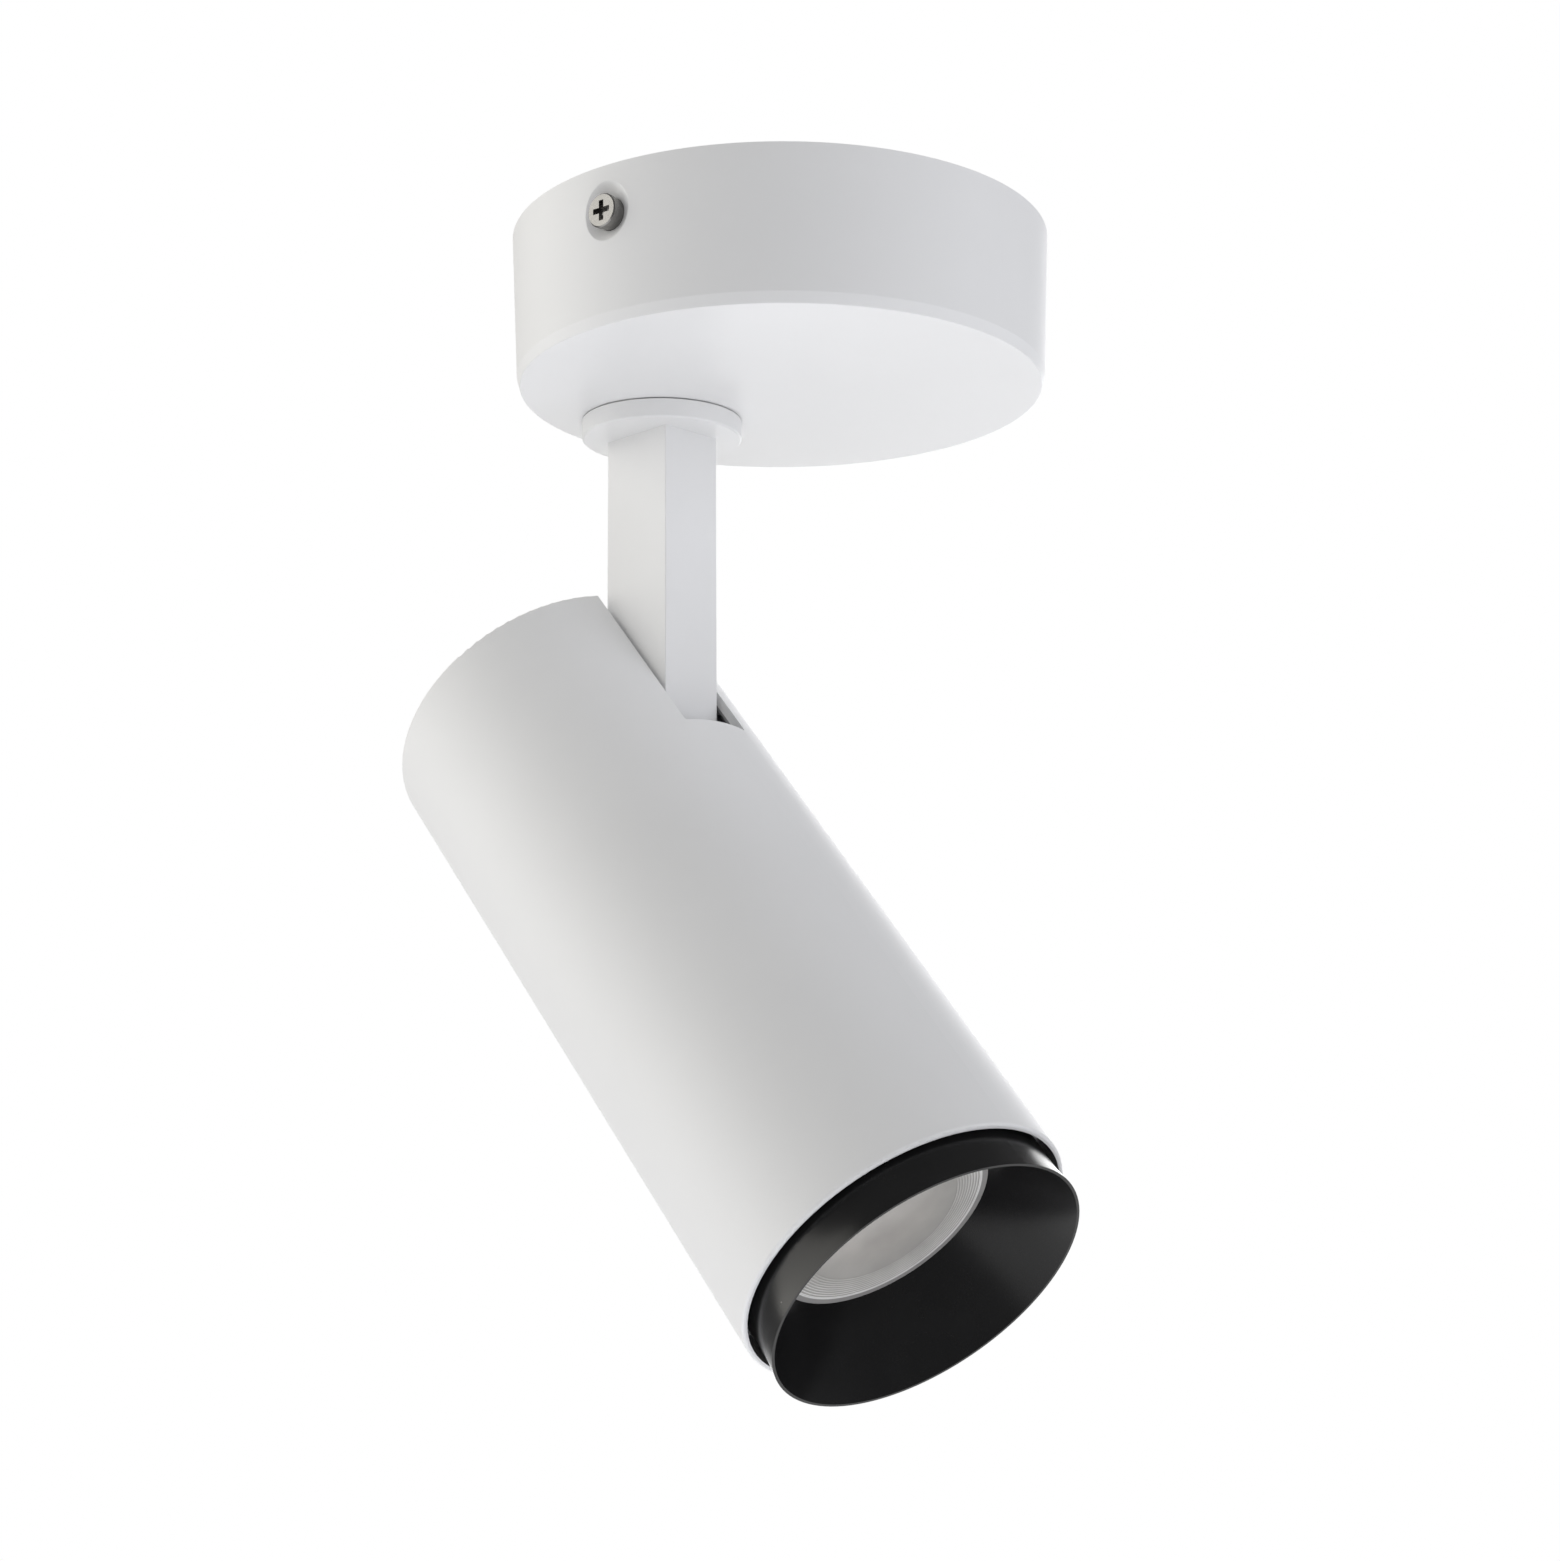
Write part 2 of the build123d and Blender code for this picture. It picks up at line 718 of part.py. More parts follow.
# Head tube: slotted from its rear end for the arm, with a thinner wall at its mouth
with BuildPart() as head_tube:
    with BuildSketch(head_frame):
        Circle(tube_radius)
        Circle(bore_radius, mode=Mode.SUBTRACT)
    extrude(amount=tube_length)
    fillet(head_tube.edges().filter_by(GeomType.CIRCLE).sort_by(SortBy.RADIUS)[-2:], radius=tube_edge)
    with BuildSketch(head_frame.offset(mouth_station)):
        Circle(tube_radius - mouth_wall)
    extrude(amount=mouth_depth, mode=Mode.SUBTRACT)
    with BuildSketch(head_frame):
        with Locations((tube_radius, 0)):
            Rectangle(2 * tube_radius, slot_width)
    extrude(amount=slot_length, mode=Mode.SUBTRACT)
    slot_ends = head_tube.edges(Select.LAST).filter_by(Axis(head_frame.origin, head_top))
    fillet(slot_ends.sort_by(head_axis)[-2:], radius=slot_corner)

with BuildPart() as rear_cap:
    slot_floor = pivot_off_axis - half_width - (slot_width - arm_thickness) / 2
    with BuildSketch(head_frame.offset(cap_recess)):
        Circle(fitted_radius)
    extrude(amount=cap_thickness)
    with BuildSketch(head_frame.offset(cap_recess + cap_thickness)):
        Circle(fitted_radius)
        Circle(fitted_radius - cap_skirt_wall, mode=Mode.SUBTRACT)
    extrude(amount=cap_skirt_length)
    with BuildSketch(head_frame):
        with Locations((slot_floor + tube_radius / 2, 0)):
            Rectangle(tube_radius, slot_width)
    extrude(amount=slot_length, mode=Mode.SUBTRACT)

# Tilt pivot: bent bracket on the heat sink, with a bolt, friction washers and a nut through the arm's eye
with BuildPart() as pivot_bracket:
    plate_high = pivot_off_axis + cheek_radius
    with BuildSketch(head_frame.offset(plate_station)):
        with Locations(((plate_low + plate_high) / 2, 0)):
            Rectangle(plate_high - plate_low, 2 * cheek_outside)
        with Locations((plate_hole_height, 0)):
            Circle(plate_hole_radius, mode=Mode.SUBTRACT)
        with Locations((plate_screw_height, 0)):
            with GridLocations(0, plate_screw_spread, 1, 2):
                Circle(m3_radius + running_gap, mode=Mode.SUBTRACT)
    extrude(amount=plate_thickness)
    for side in (-1, 1):
        with BuildSketch(head_side.offset(side * cheek_inside)):
            with Locations((pivot_off_axis, (pivot_from_rear + plate_station) / 2)):
                Rectangle(2 * cheek_radius, plate_station - pivot_from_rear)
            with Locations((pivot_off_axis, pivot_from_rear)):
                Circle(cheek_radius)
                Circle(m4_radius + running_gap, mode=Mode.SUBTRACT)
        extrude(amount=side * cheek_thickness)

with BuildPart() as pivot_bolt:
    bolt_length = 2 * cheek_outside + pivot_nut_height + pivot_bolt_spare
    add(pan_screw(pivot_plane(cheek_outside), m4_head_radius, m4_head_height, m4_radius, bolt_length))

with BuildPart() as pivot_nut:
    add(hex_nut(pivot_plane(-cheek_outside), pivot_nut_radius, m4_radius + thread_gap, pivot_nut_height))

with BuildPart() as pivot_washers:
    for side in (-1, 1):
        washer_seat = pivot_plane(side * (arm_thickness / 2 + running_gap))
        add(washer(washer_seat, pivot_washer_radius, m4_radius + running_gap, pivot_washer_thickness))

with BuildPart() as bracket_screws:
    for side in (-1, 1):
        screw_point = head_point(plate_screw_height, side * plate_screw_spread / 2, plate_station)
        seat = Plane(origin=screw_point, x_dir=head_top, z_dir=-head_aim)
        add(pan_screw(seat, m3_head_radius, m3_head_height, m3_radius, plate_screw_length))

# Heat sink: finned core pressed into the tube, with a front plate for the light source
with BuildPart() as heat_sink:
    fin_root = sink_core_radius / 2
    fin_tip = fitted_radius - sleeve_gap
    with BuildSketch(head_frame.offset(plate_front)):
        Circle(sink_core_radius)
        with PolarLocations((fin_root + fin_tip) / 2, fin_count, start_angle=180 / fin_count):
            Rectangle(fin_tip - fin_root, fin_thickness)
    extrude(amount=sink_front - sink_front_plate - plate_front)
    with BuildSketch(head_frame.offset(sink_front)):
        Circle(fitted_radius)
    extrude(amount=-sink_front_plate)
    with BuildSketch(head_frame.offset(plate_front)):
        with Locations((plate_screw_height, 0)):
            with GridLocations(0, plate_screw_spread, 1, 2):
                Circle(m3_radius + thread_gap)
    extrude(amount=plate_screw_length - plate_thickness, mode=Mode.SUBTRACT)
    with BuildSketch(head_frame.offset(sink_front)):
        with GridLocations(0, holder_screw_spread, 1, 2):
            Circle(m3_radius + thread_gap)
        with Locations((ear_socket_height, 0)):
            Circle(cable_radius + running_gap)
    extrude(amount=-sink_front_plate, mode=Mode.SUBTRACT)

# Light source: board on a thermal pad, under a holder with a socket for the cable
with BuildPart() as thermal_pad:
    with BuildSketch(head_frame.offset(sink_front)):
        Rectangle(led_board_side, led_board_side)
    extrude(amount=led_pad_thickness)

with BuildPart() as led_board:
    with BuildSketch(head_frame.offset(board_station)):
        Rectangle(led_board_side, led_board_side)
    extrude(amount=led_board_thickness)

with BuildPart() as led_phosphor:
    with BuildSketch(head_frame.offset(phosphor_station)):
        Circle(phosphor_radius)
    extrude(amount=phosphor_thickness)

with BuildPart() as led_holder:
    with BuildSketch(head_frame.offset(sink_front)):
        Circle(holder_radius)
        with Locations((ear_reach / 2, 0)):
            Rectangle(ear_reach, ear_width)
        Circle(holder_window, mode=Mode.SUBTRACT)
        with GridLocations(0, holder_screw_spread, 1, 2):
            Circle(m3_radius + running_gap, mode=Mode.SUBTRACT)
    extrude(amount=holder_thickness)
    with BuildSketch(head_frame.offset(sink_front)):
        Rectangle(led_board_side + 2 * sleeve_gap, led_board_side + 2 * sleeve_gap)
    extrude(amount=led_pad_thickness + led_board_thickness, mode=Mode.SUBTRACT)
    with BuildSketch(head_frame.offset(sink_front)):
        with Locations((ear_socket_height, 0)):
            Circle(cable_radius + running_gap)
    extrude(amount=ear_socket_depth, mode=Mode.SUBTRACT)

with BuildPart() as holder_screws:
    for side in (-1, 1):
        screw_point = head_point(0, side * holder_screw_spread / 2, holder_front)
        seat = Plane(origin=screw_point, x_dir=head_top, z_dir=head_aim)
        add(pan_screw(seat, m3_head_radius, m3_head_height, m3_radius, holder_screw_length))

with BuildPart() as head_cable:
    head_points = [
        arm_point(cable_side_offset, -pivot_drop - cable_exit_reach),
        arm_point(cable_side_offset, -pivot_drop - cable_bend_reach),
        head_point(cable_low_height, 0, plate_front + cable_low_reach),
        head_point(ear_socket_height, 0, sink_front - cable_end_run),
        head_point(ear_socket_height, 0, sink_front + ear_socket_depth),
    ]
    add(round_cable(head_points, [cable_bend, cable_lift_bend, cable_lift_bend]))

# Lens in its holder, and the bezel that screws into the front ring and keeps the lens in place
with BuildPart() as lens:
    with BuildSketch(head_side):
        with BuildLine():
            Polyline(
                (0, lens_front),
                (lens_flange_radius, lens_front),
                (lens_flange_radius, lens_flange_back),
                (lens_front_radius, lens_flange_back),
                (lens_rear_radius, lens_back),
                (lens_well_radius, lens_back),
                (lens_well_radius, lens_back + lens_well_depth),
                (0, lens_back + lens_well_depth),
                close=True,
            )
        make_face()
    revolve(axis=head_axis)

with BuildPart() as lens_holder:
    ledge_back = lens_flange_back - lens_ledge_thickness
    with BuildSketch(head_side):
        with BuildLine():
            Polyline(
                (lens_holder_radius, sink_front),
                (lens_holder_radius, lens_front),
                (lens_seat_radius, lens_front),
                (lens_seat_radius, lens_flange_back),
                (lens_ledge_radius, lens_flange_back),
                (lens_ledge_radius, ledge_back),
                (lens_holder_bore, ledge_back),
                (lens_holder_bore, sink_front),
                close=True,
            )
        make_face()
    revolve(axis=head_axis)

with BuildPart() as front_ring:
    ring_plane = head_frame.offset(mouth_station - front_ring_length)
    add(washer(ring_plane, fitted_radius, ring_bore, front_ring_length))

with BuildPart() as bezel:
    neck_back = mouth_station - bezel_neck_length
    flare_start = (bezel_side_radius, tube_length + bezel_flare_start)
    lip_edge = (bezel_lip_radius, lip_station)
    with BuildSketch(head_side):
        with BuildLine():
            TangentArc(flare_start, lip_edge, tangent=(0, 1))
            Polyline(
                lip_edge,
                (bezel_lip_radius - bezel_lip_width, lip_station),
                (bezel_window, lens_front),
                (neck_bore, lens_front),
                (neck_bore, neck_back),
                (bezel_neck_radius, neck_back),
                (bezel_neck_radius, mouth_station),
                (bezel_side_radius, mouth_station),
                flare_start,
            )
        make_face()
    revolve(axis=head_axis)

# Each piece is written under its own name
pieces = {
    "canopy": canopy,
    "canopy_screws": canopy_screws,
    "ceiling_bracket": ceiling_bracket,
    "bracket_lugs": bracket_lugs,
    "earth_screw": earth_screw,
    "cable_grommet": cable_grommet,
    "driver_pad": driver_pad,
    "driver_case": driver_case,
    "driver_lid": driver_lid,
    "driver_board": driver_board,
    "driver_transformer": driver_transformer,
    "driver_capacitors": driver_capacitors,
    "terminal_pad": terminal_pad,
    "terminal_block": terminal_block,
    "terminal_screws": terminal_screws,
    "driver_leads": driver_leads,
    "driver_cable": driver_cable,
    "stop_post": stop_post,
    "swivel_gasket": swivel_gasket,
    "swivel_flange": swivel_flange,
    "swivel_nipple": swivel_nipple,
    "friction_washer": friction_washer,
    "stop_washer": stop_washer,
    "spring_washer": spring_washer,
    "swivel_nut": swivel_nut,
    "arm": arm,
    "arm_cable": arm_cable,
    "head_tube": head_tube,
    "rear_cap": rear_cap,
    "pivot_bracket": pivot_bracket,
    "pivot_bolt": pivot_bolt,
    "pivot_nut": pivot_nut,
    "pivot_washers": pivot_washers,
    "bracket_screws": bracket_screws,
    "heat_sink": heat_sink,
    "thermal_pad": thermal_pad,
    "led_board": led_board,
    "led_phosphor": led_phosphor,
    "led_holder": led_holder,
    "holder_screws": holder_screws,
    "head_cable": head_cable,
    "lens": lens,
    "lens_holder": lens_holder,
    "front_ring": front_ring,
    "bezel": bezel,
}

os.makedirs("parts", exist_ok=True)
for label, piece in pieces.items():
    piece.part.label = label
    export_step(piece.part, f"parts/{label}.step")
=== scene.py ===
"""Looks of a surface-mounted ceiling spotlight: a round canopy, a swivelling arm and a tilting tube head."""

import json

import bpy
import numpy as np
from bpy.props import FloatProperty, FloatVectorProperty, IntProperty, PointerProperty
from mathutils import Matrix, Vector


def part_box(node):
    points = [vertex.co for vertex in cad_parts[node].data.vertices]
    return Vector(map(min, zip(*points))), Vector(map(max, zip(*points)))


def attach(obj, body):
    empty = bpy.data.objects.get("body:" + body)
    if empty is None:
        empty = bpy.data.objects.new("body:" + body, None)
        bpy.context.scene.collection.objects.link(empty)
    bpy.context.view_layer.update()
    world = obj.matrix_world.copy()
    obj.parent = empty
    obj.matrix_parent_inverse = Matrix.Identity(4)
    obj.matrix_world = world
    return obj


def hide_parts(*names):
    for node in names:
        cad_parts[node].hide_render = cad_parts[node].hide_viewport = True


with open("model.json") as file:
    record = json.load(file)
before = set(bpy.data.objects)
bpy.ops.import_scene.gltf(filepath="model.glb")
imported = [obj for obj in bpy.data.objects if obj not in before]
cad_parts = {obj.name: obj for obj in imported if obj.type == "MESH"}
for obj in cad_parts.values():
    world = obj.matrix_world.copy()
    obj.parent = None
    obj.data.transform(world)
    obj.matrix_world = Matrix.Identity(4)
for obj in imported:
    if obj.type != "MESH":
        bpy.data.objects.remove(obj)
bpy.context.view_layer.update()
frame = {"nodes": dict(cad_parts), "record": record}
SLOT_COLOURS = {entry["slot"]: entry["base_color"][:3] for entry in frame["record"]["materials"]}

# Lens: points of its mesh, and shares of the bezel's window between which one colour gives way to the next
LENS_COLUMNS = 160
LENS_MIDDLE_POINTS = 8
LENS_RING_POINTS = 14
LENS_BORDER_POINTS = 25
LENS_CREASE = np.radians(30)
LENS_MIDDLE_FADE = (0.35, 0.72)
LENS_BORDER_FADE = (0.943, 0.953)

# Shared bumps: stretch of the noise along each axis, its detail and its fineness
BUMPS = {
    "Fine grain": ((1.0, 1.0, 1.0), 1.5, 0.45),
    "Tool marks": ((0.04, 1.0, 1.0), 2.0, 0.6),
}

# Studio: cosines at which the backdrop starts and is full, and the lamps' places and widths in metres
BACKDROP_EDGE, BACKDROP_CORE = 0.86, 0.97
FLOOR_CORNERS = 96
LAMP_TARGET = (0.01, 0.0, -0.10)
KEY_PLACE, KEY_WIDTH = (-0.95, -0.52, 0.22), 1.05
SIDE_PLACE, SIDE_WIDTH = (1.00, 0.40, -0.05), 0.80
BACK_PLACE, BACK_WIDTH = (-0.45, 0.97, 0.00), 0.80
LOW_PLACE, LOW_WIDTH = (0.05, -0.10), 1.00
LOW_LIFT = 0.03

bl_info = {
    "name": "Ceiling spotlight",
    "version": (1, 0, 0),
    "blender": (4, 5, 0),
    "location": "3D View > Sidebar > Spotlight",
    "description": "Finishes, lens and studio of a ceiling spotlight with a swivelling arm and a tilting tube head",
    "category": "Object",
}


def length(name, description, default):
    """Property for a length in metres."""
    return FloatProperty(
        name=name, description=description, default=default, min=0, precision=6, subtype="DISTANCE", unit="LENGTH"
    )


def share(name, description, default, limit=1.0):
    """Property for a plain number from nought to a limit."""
    return FloatProperty(name=name, description=description, default=default, min=0, max=limit, precision=4)


def power(name, description, default):
    """Property for a lamp's power in watts."""
    return share(name, description, default, 1000.0)


def colour(name, description, default):
    """Property for a colour in linear light."""
    return FloatVectorProperty(
        name=name, description=description, default=default, size=3, min=0, max=1, subtype="COLOR"
    )


class SpotlightSizes(bpy.types.PropertyGroup):
    """Sizes of the lens and of the grain in the finishes"""

    lens_flange: length("Lens flange", "Thickness of the flange that the lens is held by", 0.0020)
    lens_shoulder: length("Lens shoulder", "Step from the flange to the lens's sloping flank", 0.0015)
    lens_foot: length("Lens foot", "Radius of the lens at its rear end", 0.0090)
    lens_well: length("Lens well", "Radius of the well over the light source", 0.0075)
    lens_well_depth: length("Lens well depth", "Depth of the well over the light source", 0.0090)
    ring_count: IntProperty(name="Lens rings", description="Moulded rings near the lens's rim", default=9, min=1)
    ring_pitch: length("Ring pitch", "Distance from one moulded ring to the next", 0.00055)
    ring_depth: length("Ring depth", "Depth of the moulded rings", 0.00006)
    ring_margin: length("Ring margin", "Plain border between the rings and the bezel's window", 0.0012)
    # Painted glint: a bright line where the rings end, standing in for light caught there.
    ring_end_glint: length("Ring end glint", "Half width of the bright line where the rings end", 0.00014)
    powder_grain: length("Powder grain", "Width of the bumps in the powder coat", 0.00045)
    powder_relief: length("Powder relief", "Height of the bumps in the powder coat", 0.000012)
    bezel_grain: length("Bezel grain", "Width of the bumps in the bezel's black finish", 0.00025)
    bezel_relief: length("Bezel relief", "Height of the bumps in the bezel's black finish", 0.000001)
    mould_grain: length("Mould grain", "Width of the spark-eroded grain on moulded pieces", 0.00035)
    mould_relief: length("Mould relief", "Height of the spark-eroded grain on moulded pieces", 0.000010)


class SpotlightColours(bpy.types.PropertyGroup):
    """Colours of the finishes"""

    powder: colour("Powder coat", "White of the canopy, arm and head", (0.86, 0.86, 0.86))
    # The darker grey inside the tube is painted shade: it stands in for the shade in the tube's bore.
    bore: colour("Tube bore", "Dull uncoated inside of the head's tube", (0.30, 0.30, 0.31))
    bezel: colour("Bezel", "Black of the bezel", (0.009, 0.009, 0.0093))
    dust: colour("Dust", "Pale specks on the bezel", (0.45, 0.44, 0.42))
    aluminium: colour("Aluminium", "Machined aluminium inside the head", SLOT_COLOURS["bare_aluminium"])
    zinc: colour("Zinc", "Zinc-plated bracket, washers and nuts", SLOT_COLOURS["zinc_steel"])
    nickel: colour("Nickel", "Nickel-plated side screws", (0.33, 0.325, 0.318))
    brass: colour("Brass", "Earth screw", SLOT_COLOURS["brass"])
    white_plastic: colour("White plastic", "Driver case and terminal block", SLOT_COLOURS["white_plastic"])
    black_plastic: colour("Black plastic", "Lens holder and washers", SLOT_COLOURS["black_plastic"])
    board: colour("Circuit board", "Solder mask of the driver's board", SLOT_COLOURS["green_board"])
    phosphor: colour("Phosphor", "Light-emitting face", SLOT_COLOURS["yellow_phosphor"])
    grey_rubber: colour("Grey rubber", "Pads", SLOT_COLOURS["grey_rubber"])
    black_rubber: colour("Black rubber", "Grommet, gasket and leads", SLOT_COLOURS["black_rubber"])
    # The lens's middle and band greys are painted light: they stand in for light reflected inside the clear lens.
    lens: colour("Lens", "Milky middle of the moulded lens", (0.53, 0.505, 0.47))
    lens_band: colour("Lens band", "Zone of the lens towards its rings", (0.49, 0.475, 0.445))
    # Painted glints: near-white lines along the rings stand in for light that the rings catch.
    lens_glint: colour("Ring glints", "Frosted lines of the lens's rings", (0.98, 0.97, 0.95))
    lens_rim: colour("Lens rim", "Plain border of the lens", (0.36, 0.35, 0.34))
    cable: colour("Cable", "Sheath of the inner cable", SLOT_COLOURS["white_cable"])
    floor: colour("Floor", "Studio floor", (0.90, 0.90, 0.90))


class SpotlightStage(bpy.types.PropertyGroup):
    """Camera, lamps and floor of the studio"""

    camera_place: FloatVectorProperty(
        name="Camera place", description="Where the camera stands", default=(0.3289, -0.4256, -0.20315),
        subtype="TRANSLATION", unit="LENGTH",
    )
    camera_turn: FloatVectorProperty(
        name="Camera turn", description="How the camera is turned",
        default=np.radians((99.82, 0.453, 37.22)).tolist(), subtype="EULER", unit="ROTATION",
    )
    camera_lens: FloatProperty(
        name="Focal length", description="Focal length in millimetres", default=71.23, min=1
    )
    camera_shift: FloatVectorProperty(
        name="Lens shift", description="Sideways and upward shift of the picture", default=(-0.02154, 0.03742),
        size=2,
    )
    ambient: share("Ambient light", "Strength of the light from all round", 0.480, 4.0)
    room: share("Room", "Brightness of the dim room that gloss and glass show away from the backdrop", 0.20)
    backdrop_way: FloatVectorProperty(
        name="Way to the backdrop", description="Direction in which gloss and glass show the white backdrop",
        default=(-0.58, 0.81, 0.04), subtype="DIRECTION",
    )
    key_power: power("Key lamp", "Watts of the large lamp at the left", 6.50)
    side_power: power("Side lamp", "Watts of the lamp at the right", 3.70)
    back_power: power("Back lamp", "Watts of the lamp behind", 5.50)
    low_power: power("Low lamp", "Watts of the lamp near the floor", 3.90)
    warm: colour("Warm lamp", "Colour of the key lamp", (1.0, 0.978, 0.915))
    cool: colour("Cool lamps", "Colour of the side lamp and the low lamp", (0.90, 0.92, 1.0))
    floor_drop: length("Floor drop", "How far the floor lies below the ceiling", 0.90)
    floor_radius: length("Floor radius", "Radius of the floor", 1.20)
    floor_glow: share("Floor glow", "Share of white that the camera, gloss and glass see in the floor", 0.85)


# Node trees


def add_node(tree, kind, inputs=(), **settings):
    """New node with its settings, whose inputs are set to values or joined to other sockets."""
    made = tree.nodes.new(kind)
    for name, value in settings.items():
        setattr(made, name, value)
    for name, value in dict(inputs).items():
        if isinstance(value, bpy.types.NodeSocket):
            tree.links.new(value, made.inputs[name])
        else:
            made.inputs[name].default_value = value
    return made


def number(tree, operation, *values):
    """Result of an operation on numbers or sockets."""
    return add_node(tree, "ShaderNodeMath", enumerate(values), operation=operation).outputs[0]


def vector(tree, operation, *values):
    """Outputs of an operation on vectors or sockets."""
    return add_node(tree, "ShaderNodeVectorMath", enumerate(values), operation=operation).outputs


def remap(tree, value, source, target, interpolation="LINEAR"):
    """Carries a value from the source range to the target range, and keeps it within that."""
    inputs = enumerate((value, *source, *target))
    return add_node(tree, "ShaderNodeMapRange", inputs, interpolation_type=interpolation).outputs[0]


def between(tree, amount, first, second):
    """Number that is the first where the amount is nought and the second where it is one."""
    return add_node(tree, "ShaderNodeMix", {0: amount, 2: first, 3: second}).outputs[0]


def blend(tree, amount, first, second):
    """Colour that is the first where the amount is nought and the second where it is one."""
    return add_node(tree, "ShaderNodeMix", {0: amount, 6: first, 7: second}, data_type="RGBA").outputs[2]


def opaque(tint):
    """Colour with full alpha, as a socket takes it."""
    return (*tint, 1.0)


def new_group(name, inputs, outputs):
    """New shader node group with named sockets, the outputs of its input node and its output node's inputs."""
    tree = bpy.data.node_groups.new(name, "ShaderNodeTree")
    for socket, kind in inputs.items():
        tree.interface.new_socket(name=socket, in_out="INPUT", socket_type="NodeSocket" + kind)
    for socket, kind in outputs.items():
        tree.interface.new_socket(name=socket, in_out="OUTPUT", socket_type="NodeSocket" + kind)
    return tree, tree.nodes.new("NodeGroupInput").outputs, tree.nodes.new("NodeGroupOutput").inputs


def mottle_group(name):
    """Cloudy change of brightness: the colour times one plus the amount times noise from -1 to 1."""
    tree, source, result = new_group(
        name, {"Vector": "Vector", "Colour": "Color", "Scale": "Float", "Amount": "Float"}, {"Colour": "Color"}
    )
    noise = add_node(
        tree, "ShaderNodeTexNoise",
        {"Vector": source["Vector"], "Scale": source["Scale"], "Detail": 3.0, "Roughness": 0.55},
    )
    spread = remap(tree, noise.outputs[0], (0.25, 0.75), (-1.0, 1.0))
    value = number(tree, "MULTIPLY_ADD", spread, source["Amount"], 1.0)
    shade = add_node(tree, "ShaderNodeHueSaturation", {"Color": source["Colour"], "Value": value})
    tree.links.new(shade.outputs[0], result["Colour"])
    return tree


def bumps_group(name):
    """Bumps of stretched noise: the noise as height, and the same noise spread about a middle roughness."""
    tree, source, result = new_group(
        name,
        {"Vector": "Vector", "Scale": "Float", "Roughness": "Float", "Spread": "Float"},
        {"Roughness": "Float", "Height": "Float"},
    )
    stretch, detail, fineness = BUMPS[name]
    place = vector(tree, "MULTIPLY", source["Vector"], stretch)[0]
    noise = add_node(
        tree, "ShaderNodeTexNoise",
        {"Vector": place, "Scale": source["Scale"], "Detail": detail, "Roughness": fineness},
    )
    centred = number(tree, "SUBTRACT", noise.outputs[0], 0.5)
    rough = number(tree, "MULTIPLY_ADD", centred, source["Spread"], source["Roughness"])
    tree.links.new(rough, result["Roughness"])
    tree.links.new(noise.outputs[0], result["Height"])
    return tree


def dust_group(name):
    """Sparse specks: the middles of those cells whose random number is below the share."""
    tree, source, result = new_group(
        name, {"Vector": "Vector", "Scale": "Float", "Share": "Float"}, {"Mask": "Float"}
    )
    cells = add_node(tree, "ShaderNodeTexVoronoi", {"Vector": source["Vector"], "Scale": source["Scale"]}).outputs
    pick = add_node(tree, "ShaderNodeSeparateColor", {0: cells["Color"]}).outputs
    chosen = number(tree, "LESS_THAN", pick[0], source["Share"])
    size = remap(tree, pick[1], (0.0, 1.0), (0.06, 0.22))
    near = remap(tree, cells["Distance"], (0.0, size), (1.0, 0.0))
    tree.links.new(number(tree, "MULTIPLY", chosen, near), result["Mask"])
    return tree


def use_group(tree, name, inputs):
    """Places a shared effect in a material, and builds it the first time that it is asked for."""
    makers = {
        "Mottle": mottle_group, "Fine grain": bumps_group, "Tool marks": bumps_group, "Dust specks": dust_group
    }
    group = bpy.data.node_groups.get(name) or makers[name](name)
    return add_node(tree, "ShaderNodeGroup", inputs, node_tree=group).outputs


def new_finish(name, **constants):
    """Material with one Principled shader; returns it, its tree, the shader's inputs and Object coordinates."""
    material = bpy.data.materials.new(name)
    material.use_nodes = True
    tree = material.node_tree
    tree.nodes.clear()
    shader = tree.nodes.new("ShaderNodeBsdfPrincipled")
    output = tree.nodes.new("ShaderNodeOutputMaterial")
    tree.links.new(shader.outputs[0], output.inputs["Surface"])
    for socket, value in constants.items():
        shader.inputs[socket.replace("_", " ")].default_value = value
    place = tree.nodes.new("ShaderNodeTexCoord").outputs["Object"]
    return material, tree, shader.inputs, place


def join_bumps(tree, shader, place, marks, rough, spread, width, relief):
    """Joins shared bumps of a width and a height to a shader's roughness and normal."""
    bumps = use_group(tree, marks, {"Vector": place, "Scale": 1 / width, "Roughness": rough, "Spread": spread})
    normal = add_node(
        tree, "ShaderNodeBump", {"Height": bumps["Height"], "Strength": 1.0, "Distance": relief}
    )
    tree.links.new(bumps["Roughness"], shader["Roughness"])
    tree.links.new(normal.outputs[0], shader["Normal"])


def grained_finish(name, tint, *, patch, amount, rough, spread, width, relief, marks="Fine grain", **constants):
    """Finish with cloudy colour and fine bumps: patch and width are the sizes of the clouds and of the bumps.

    The tint is a colour, or a function of the tree and the Object coordinates that gives a colour socket.
    """
    material, tree, shader, place = new_finish(name, **constants)
    base = tint(tree, place) if callable(tint) else opaque(tint)
    clouds = use_group(
        tree, "Mottle", {"Vector": place, "Colour": base, "Scale": 1 / patch, "Amount": amount}
    )
    tree.links.new(clouds["Colour"], shader["Base Color"])
    join_bumps(tree, shader, place, marks, rough, spread, width, relief)
    return material


def paint(material, *names):
    """Gives a finish to nodes of the model."""
    for name in names:
        for place in frame["nodes"][name].material_slots:
            place.material = material


# Surfaces


